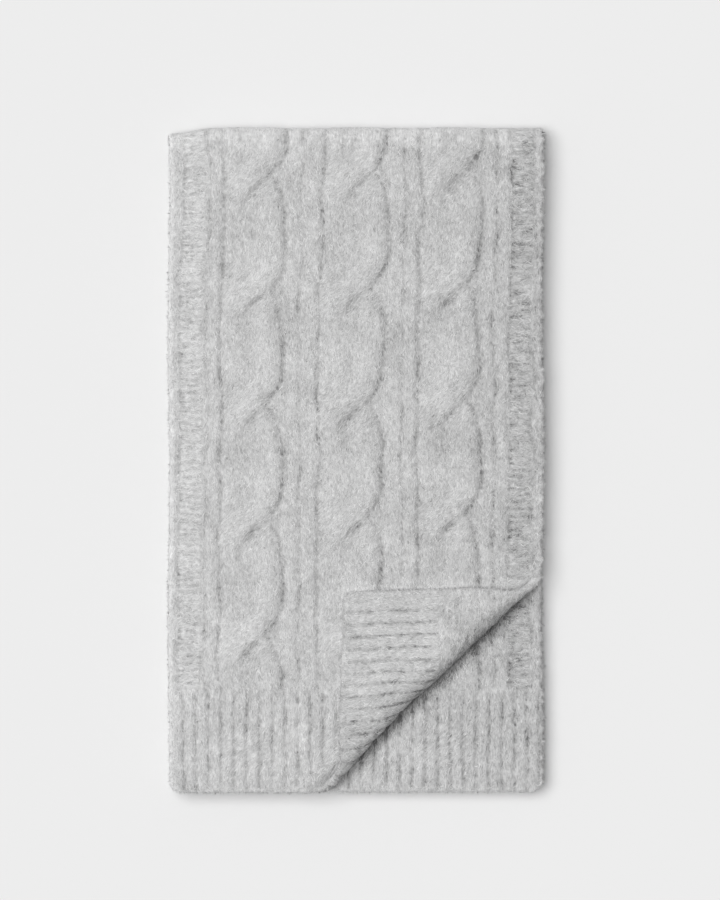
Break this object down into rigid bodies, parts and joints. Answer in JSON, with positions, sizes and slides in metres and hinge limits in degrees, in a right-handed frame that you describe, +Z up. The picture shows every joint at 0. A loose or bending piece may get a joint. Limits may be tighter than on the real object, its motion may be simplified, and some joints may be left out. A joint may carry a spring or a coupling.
{
  "type": "folded knit scarf",
  "caption": "Cable-knit wool scarf with ribbed hems, folded flat in layers, one corner of its top end turned back to show the reverse and the hem below.",
  "frame": {"origin": "middle of the footprint, on the surface that the folded scarf lies on", "axes": "+X across the scarf, +Y along it towards the back folds, away from the hems, +Z up"},
  "size_m": [0.2512, 0.4439, 0.0338],
  "materials": {
    "knit_top": "brushed melange wool knit",
    "knit_under": "brushed melange wool knit",
    "knit_inner": "brushed melange wool knit"
  },
  "bodies": {
    "root": {"top_layer": "knit_top", "under_layer": "knit_under", "inner_layers": "knit_inner"}
  },
  "joints": []
}
